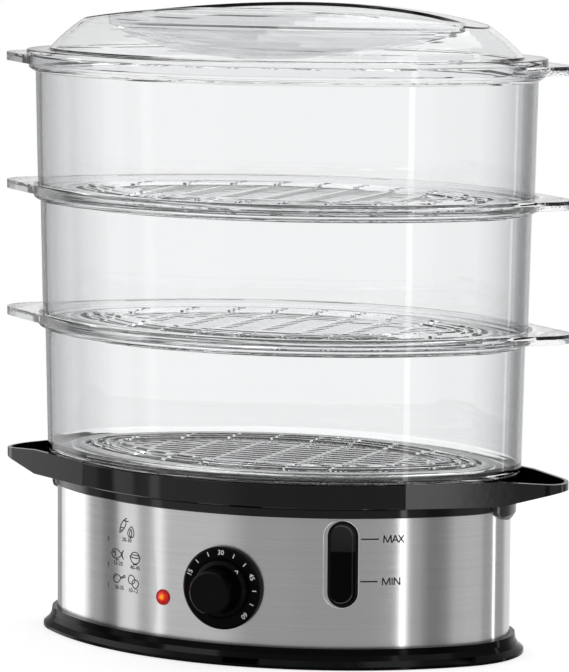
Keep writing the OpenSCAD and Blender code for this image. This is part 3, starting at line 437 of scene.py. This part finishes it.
def smokedPane(setup):
    # Dark pane of the gauge: hazier above the level line, with a painted highlight, a paler line, inside its
    # rounded edge. The distance is to a middle line of the straight sides' length, so its ends are round
    made, g, shader = newMaterial("smokedPane", {"IOR": 1.5, "Roughness": 0.05, "Specular IOR Level": 0.06})
    x, y, z = g.axes(g.place())
    haze = g.ramp(g.range(z, 0, 1, *setup["level"]), setup["haze"])
    above = g.math("ABSOLUTE", g.math("SUBTRACT", z, setup["middle"][2]))
    above = g.math("MAXIMUM", g.math("SUBTRACT", above, setup["straight"]), 0.0)
    far = g.length(g.math("SUBTRACT", x, setup["middle"][0]), above)
    # Painted highlight: the paler line inside the edge, faint along the straight sides and broken up by noise
    # towards the round ends
    line = g.ramp(g.math("DIVIDE", far, setup["pane"]), setup["line"])
    brokenGlint = g.math("MULTIPLY", g.noise(*setup["breaks"]), above)
    brokenGlint = g.range(brokenGlint, setup["faintestGlint"], 1.0, 0.0, setup["glintBreakHigh"])
    line = g.add("ShaderNodeVectorMath", {0: line, "Scale": brokenGlint}, operation="SCALE").outputs[0]
    both = g.add("ShaderNodeVectorMath", {0: haze, 1: line}, operation="ADD").outputs[0]
    g.feed(shader, "Base Color", both)
    return made


dress(smokedPane(gauge), "gauge_window")

knob = {
    "colour": (0.0015, 0.0015, 0.0017, 1), "specular": 0.09,
    "rough": (0.1, 0.24), "sheen": (300, 3),
    "grain": (900, 2), "grainHigh": 0.02 * mm,
    "ribs": 60, "deep": 0.8 * mm, "from": 10.5 * mm,    # ribs round it, their depth, and where they start
    "height": 44.2 * mm,                                # of its axis above the table
}


def ribbedKnob(setup):
    # Glossy knob with fine upright ribs round its grip: height follows the sine of the turn round the axis
    made, g, shader = newMaterial("ribbedKnob", {
        "IOR": 1.5, "Specular IOR Level": setup["specular"], "Base Color": setup["colour"]})
    x, y, z = g.axes(g.place())
    up = g.math("SUBTRACT", z, setup["height"])
    ribs = g.math("MULTIPLY", g.math("SINE", g.math("MULTIPLY", g.math("ARCTAN2", x, up), setup["ribs"])),
                  g.math("GREATER_THAN", g.length(x, up), setup["from"]))
    grain = g.bump(g.noise(*setup["grain"]), setup["grainHigh"])
    g.feed(shader, "Roughness", g.range(g.noise(*setup["sheen"]), *setup["rough"]))
    g.feed(shader, "Normal", g.bump(ribs, setup["deep"], normal=grain))
    return made


dress(ribbedKnob(knob), "timer_knob")


def printInk(name, colour, rough, specular):
    # Plain ink whose roughness varies finely from the first to the second of its two values
    made, g, shader = newMaterial(name, {
        "Base Color": (*colour, 1), "IOR": 1.45, "Specular IOR Level": specular})
    g.feed(shader, "Roughness", g.range(g.noise(900, 2), *rough))
    return made


printWhite = printInk("printWhite", (0.86, 0.86, 0.85), (0.35, 0.5), 0.5)
printDark = printInk("printDark", (0.004, 0.004, 0.0045), (0.3, 0.45), 0.25)
rolledEdge = cloudyFinish("rolledEdge", metal, (0.86, 0.86, 0.87), 0.3)

print("marks")
prints = {
    "lift": 0.03 * mm,       # how far a print stands off its surface
    "thick": 0.05 * mm,
    "front": 86.167 * mm,    # how far forward the steel is below the dial
    "dialHeight": 44.2 * mm,
    "dialFace": 4.2 * mm,    # how far the dial stands out from the steel
}


def ontoBand(flat, lift):
    # Flat (across, up) wrapped round the front arc: across is a length along the steel
    angle = flat[:, 0] / longRadius
    out = longRadius + lift
    return np.stack([out * np.sin(angle), longY - out * np.cos(angle), flat[:, 1]], -1)


def ontoFlat(flat, lift, front, height):
    # Flat (across, up) stood up facing the front, about a middle at a height
    return np.stack([flat[:, 0], np.zeros(len(flat)) - front - lift, flat[:, 1] + height], -1)


def addPiece(name, points, faces, finish, body, slot, smooth=False):
    # A mesh with its place in its points, which rides on a body of the CAD
    mesh = bpy.data.meshes.new(name)
    mesh.from_pydata(points.tolist(), [], faces)
    mesh.materials.append(finish)
    if smooth:
        mesh.polygons.foreach_set("use_smooth", [True] * len(mesh.polygons))
    mesh.update()
    obj = newObject(name, mesh)
    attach(obj, body)
    return obj


def thicken(obj):
    # A print gets a real thickness, from its surface outwards
    solid = obj.modifiers.new("thick", "SOLIDIFY")
    solid.thickness, solid.offset = prints["thick"], 1.0


def textMesh(words, size, turn=0.0, weight=0.0):
    # A word as flat triangles in (across, up), centred on its middle and turned clockwise about it
    curve = bpy.data.curves.new("word", "FONT")
    curve.body, curve.size, curve.offset = words, 1.0, weight
    curve.align_x, curve.align_y = "CENTER", "CENTER"
    curve.resolution_u = 3
    obj = newObject("word", curve)
    mesh = bpy.data.meshes.new_from_object(obj.evaluated_get(bpy.context.evaluated_depsgraph_get()))
    bpy.data.objects.remove(obj)
    flat = np.zeros(len(mesh.vertices) * 3)
    mesh.vertices.foreach_get("co", flat)
    flat = flat.reshape(-1, 3)[:, :2] * size
    faces = [list(p.vertices) for p in mesh.polygons]
    bpy.data.meshes.remove(mesh)
    c, s = math.cos(turn), math.sin(turn)
    return flat @ np.array([[c, -s], [s, c]]), faces


def bar(start, end, width):
    # Straight mark between two flat points
    a, b = np.array(start, float), np.array(end, float)
    along = (b - a) / np.linalg.norm(b - a)
    side = np.array([-along[1], along[0]]) * width / 2
    return np.array([a - side, b - side, b + side, a + side]), [[0, 1, 2, 3]]


def joined(parts):
    # Meshes in one: each one's faces count on from the points before them
    points, faces, start = [], [], 0
    for p, f in parts:
        points.append(p)
        faces += [[v + start for v in face] for face in f]
        start += len(p)
    return np.vstack(points), faces


def ribbon(line, width, closed=False):
    # A line of flat points given a width: each point moved both ways along the line's normal
    line = np.asarray(line, float)
    if closed:
        along = np.roll(line, -1, 0) - np.roll(line, 1, 0)
    else:
        along = np.gradient(line, axis=0)
    along = along / np.linalg.norm(along, axis=1)[:, None]
    side = np.stack([-along[:, 1], along[:, 0]], -1) * width / 2
    n = len(line)
    start = np.arange(n if closed else n - 1)
    after = (start + 1) % n
    return np.vstack([line - side, line + side]), np.stack([start, after, after + n, start + n], -1).tolist()


def outwards(turn):
    # Flat direction that is so far round from the top, clockwise
    return np.array([math.sin(turn), math.cos(turn)])


scale = {
    # minutes and degrees round from the top
    "numerals": [(15, -67.5), (30, 0), (45, 67.5), (60, 135)],
    "ticks": [-45, -22.5, 22.5, 45, 90, 112.5],
    "middle": 21.0 * mm, "size": 4.0 * mm, "weight": 0.012,
    "tickFrom": 19.8 * mm, "tickTo": 22.4 * mm, "tickWide": 0.55 * mm,
}


def dialScale(setup):
    # Numerals and ticks round the knob, each turned with its place on the scale
    parts = []
    for number, degrees in setup["numerals"]:
        turn = math.radians(degrees)
        flat, faces = textMesh(str(number), setup["size"], turn, setup["weight"])
        parts.append((flat + setup["middle"] * outwards(turn), faces))
    for degrees in setup["ticks"]:
        way = outwards(math.radians(degrees))
        parts.append(bar(way * setup["tickFrom"], way * setup["tickTo"], setup["tickWide"]))
    flat, faces = joined(parts)
    points = ontoFlat(flat, prints["lift"], prints["front"] + prints["dialFace"], prints["dialHeight"])
    return points, faces


thicken(addPiece("dialScale", *dialScale(scale), printWhite, "root", "dial_black"))

pointer = {
    "turn": 45,    # degrees round from the top, which is 40 minutes
    # how far its tip and its two ends are from the knob's axis, and the ends from the line to the tip
    "tip": 16.2 * mm, "ends": 15.0 * mm, "spread": 1.0 * mm, "wide": 0.45 * mm,
    # the skirt's outer radius, how far it stands out from the steel there, and its slope inwards
    "skirt": 16.4 * mm, "rise": 6.0 * mm, "slope": 0.8 / 2.1,
}


def pointerMark(setup):
    # Chevron pointing outwards on the knob's skirt, a cone: it rises by its slope from its outer edge inwards
    turn = math.radians(setup["turn"])
    out, side = outwards(turn), outwards(turn + math.pi / 2)
    ends = [out * setup["ends"] + side * spread for spread in (-setup["spread"], setup["spread"])]
    flat, faces = joined([bar(end, out * setup["tip"], setup["wide"]) for end in ends])
    rise = setup["rise"] + (setup["skirt"] - np.linalg.norm(flat, axis=1)) * setup["slope"]
    return ontoFlat(flat, prints["lift"], prints["front"] + rise, prints["dialHeight"]), faces


thicken(addPiece("pointerMark", *pointerMark(pointer), printWhite, "knob", "dial_black"))

levels = {
    # all in mm: the letters' height, gap and stroke, the level line's width, and the gap before its word
    "tall": 4.3, "gap": 0.1, "stroke": 0.7, "line": 0.8, "before": 2.4,
    # word, height above the table, and the two ends of its line across the front
    "words": [("MAX", 75.3, 78.5, 87.7), ("MIN", 50.5, 78.3, 87.2)],
}
letters = {
    # width and space on each side in mm, then strokes between two points of a box of one by one
    "M": (4.5, 0.4, [((0, 0), (0.06, 1)), ((0.06, 1), (0.5, 0.05)),
                     ((0.5, 0.05), (0.94, 1)), ((0.94, 1), (1, 0))]),
    "A": (3.6, 0.0, [((0, 0), (0.5, 1)), ((0.5, 1), (1, 0)), ((0.18, 0.34), (0.82, 0.34))]),
    "X": (3.1, 0.0, [((0, 0), (1, 1)), ((0, 1), (1, 0))]),
    "I": (0.4, 0.5, [((0.5, 0), (0.5, 1))]),
    "N": (3.3, 0.4, [((0, 0), (0, 1)), ((0, 1), (1, 0)), ((1, 0), (1, 1))]),
}


def levelMarks(setup):
    # A level line and its word, letter after letter; a place across the front is first made a length along
    # the steel, the radius times the angle whose sine is their ratio
    parts = []
    for word, height, start, end in setup["words"]:
        along = [longRadius * math.asin(x * mm / longRadius) / mm for x in (start, end)]
        parts.append(bar((along[0], height), (along[1], height), setup["line"]))
        left = along[1] + setup["before"]
        for letter in word:
            wide, space, strokes = letters[letter]
            size = np.array([wide, setup["tall"]])
            corner = np.array([left + space, height - setup["tall"] / 2])
            parts += [bar(a * size + corner, b * size + corner, setup["stroke"]) for a, b in strokes]
            left += wide + 2 * space + setup["gap"]
    flat, faces = joined(parts)
    return ontoBand(flat * mm, prints["lift"]), faces


thicken(addPiece("levelMarks", *levelMarks(levels), printDark, "root", "black_satin"))

edging = {
    "radius": 0.42 * mm,
    "grow": 0.35 * mm,          # how far outside the opening its middle runs
    "steps": 24, "sides": 12,   # points along each end and each side, and round the circle
}


def gaugeEdge(setup, opening):
    # Rolled steel edge of the gauge's opening: a circle carried along the outline of a slot with round ends,
    # which is wrapped round the steel
    steps = setup["steps"]
    turn = np.linspace(0, np.pi, steps)
    reach = opening["opening"] + setup["grow"]
    end = np.stack([reach * np.cos(turn), opening["straight"] + reach * np.sin(turn)], -1)
    down = np.linspace(1, -1, steps + 2)[1:-1] * opening["straight"]
    side = np.stack([np.full(steps, -reach), down], -1)
    outline = np.vstack([end, side, -end, -side])
    middle = opening["middle"]
    angle = np.arcsin((outline[:, 0] + middle[0]) / longRadius)
    out = np.stack([np.sin(angle), -np.cos(angle), np.zeros(len(angle))], -1)
    path = out * longRadius + [0, longY, 0]
    path[:, 2] = outline[:, 1] + middle[2]
    along = np.roll(path, -1, 0) - np.roll(path, 1, 0)
    along = along / np.linalg.norm(along, axis=1)[:, None]
    across = np.cross(along, out)
    t = np.linspace(0, 2 * np.pi, setup["sides"], endpoint=False)[None, :, None]
    points = path[:, None] + setup["radius"] * (np.cos(t) * out[:, None] + np.sin(t) * across[:, None])
    n, m = points.shape[:2]
    i, j = np.meshgrid(np.arange(n), np.arange(m), indexing="ij")
    after, beside = (i + 1) % n, (j + 1) % m
    faces = np.stack([i * m + j, i * m + beside, after * m + beside, after * m + j], -1).reshape(-1, 4)
    return points.reshape(-1, 3), faces.tolist()


addPiece("gaugeEdge", *gaugeEdge(edging, gauge), rolledEdge, "root", "brushed_steel", smooth=True)

foods = {
    # all in mm: width of the lines and height of the figures
    "line": 0.55, "figures": 3.5,
    # middle along the steel and above the table, the minutes, and their height from that middle
    "vegetables": (-69.5, 72.0, "20-30", -7.0), "fish": (-77.0, 55.8, "15-20", -5.6),
    "bowl": (-62.5, 55.4, "40-45", -6.2), "poultry": (-76.0, 41.2, "30-35", -5.4),
    "eggs": (-64.0, 41.0, "10-12", -5.6),
    "tiers": [(-86.0, 63.8, "3"), (-86.0, 48.6, "2"), (-86.0, 36.0, "1")],
}


def drop(size, wide, turn, middle, sharp, steps=40):
    # Teardrop: (cos t, sin t times the sine of half t to a power), scaled, turned and moved
    t = np.linspace(0, 2 * np.pi, steps + 1)[:-1]
    across = np.sin(t) * np.abs(np.sin(t / 2)) ** sharp
    x, y = np.cos(t) * size / 2, across * wide / 2
    a = math.radians(turn)
    return np.stack([x * math.cos(a) - y * math.sin(a), x * math.sin(a) + y * math.cos(a)], -1) + middle


def arc(rx, ry, start, end, middle, steps=15):
    # Part of an ellipse between two angles
    t = np.radians(np.linspace(start, end, steps))
    return np.stack([rx * np.cos(t), ry * np.sin(t)], -1) + middle


def foodPictures(setup):
    # Plain outlines of foods with their minutes, drawn in mm about each middle
    closed, opened = True, False
    drawings = {
        "vegetables": [
            (drop(9.0, 4.2, -122, (-3.6, 0.6), 0.8), closed), (arc(1.4, 0.5, 20, 160, (-3.6, -0.4)), opened),
            (arc(1.1, 0.4, 20, 160, (-4.3, -1.8)), opened), (arc(2.6, 1.2, 190, 300, (0.2, 5.4)), opened),
            (arc(1.2, 2.2, 60, 170, (-0.6, 3.6)), opened), (drop(6.8, 6.2, 80, (3.6, -1.8), 0.7), closed),
            (arc(1.3, 2.5, 100, 260, (3.8, -2.6)), opened), (arc(1.3, 2.5, -80, 80, (3.0, -2.6)), opened),
        ],
        "fish": [
            (drop(8.6, 6.4, 0, (-1.4, 0.0), 0.5), closed), (arc(2.4, 3.0, 120, 240, (6.0, 0.0)), opened),
            (np.linspace((2.4, 0.3), (4.9, 2.6), 5), opened),
            (np.linspace((2.4, -0.3), (4.9, -2.6), 5), opened),
            (arc(0.4, 0.4, 0, 330, (-4.0, 0.7)), opened), (arc(1.2, 2.2, -60, 60, (-3.6, 0.0)), opened),
            (arc(1.6, 1.0, 200, 320, (-0.6, -2.6)), opened),
        ],
        "bowl": [
            (arc(4.0, 4.4, 180, 360, (0, 0.6), 19), opened), (arc(4.0, 0.9, 0, 342, (0, 0.6), 20), opened),
            (arc(3.2, 2.3, 15, 165, (0, 0.9)), opened), (arc(1.6, 0.4, 180, 360, (0, -3.9)), opened),
        ],
        "poultry": [
            (drop(6.8, 6.2, 12, (-1.8, 0.0), 0.7), closed), (np.linspace((1.2, 0.9), (3.9, 1.6), 5), opened),
            (np.linspace((1.2, 0.3), (4.0, 0.9), 5), opened), (arc(0.7, 0.7, -100, 190, (4.5, 1.7)), opened),
            (arc(2.0, 1.4, 100, 200, (-2.0, 0.2)), opened),
        ],
        "eggs": [
            (drop(5.4, 6.0, 110, (-1.4, 1.0), 0.3), closed), (drop(5.4, 5.6, 20, (1.7, -1.3), 0.3), closed),
        ],
    }
    parts = []
    for name, strokes in drawings.items():
        across, height, minutes, below = setup[name]
        for line, loop in strokes:
            flat, faces = ribbon(line, setup["line"], loop)
            parts.append(((flat + (across, height)) * mm, faces))
        flat, faces = textMesh(minutes, setup["figures"] * mm)
        parts.append((flat + np.array([across, height + below]) * mm, faces))
    for across, height, tier in setup["tiers"]:
        flat, faces = textMesh(tier, setup["figures"] * mm)
        parts.append((flat + np.array([across, height]) * mm, faces))
    flat, faces = joined(parts)
    return ontoBand(flat, prints["lift"]), faces


thicken(addPiece("foodPictures", *foodPictures(foods), printDark, "root", "black_satin"))
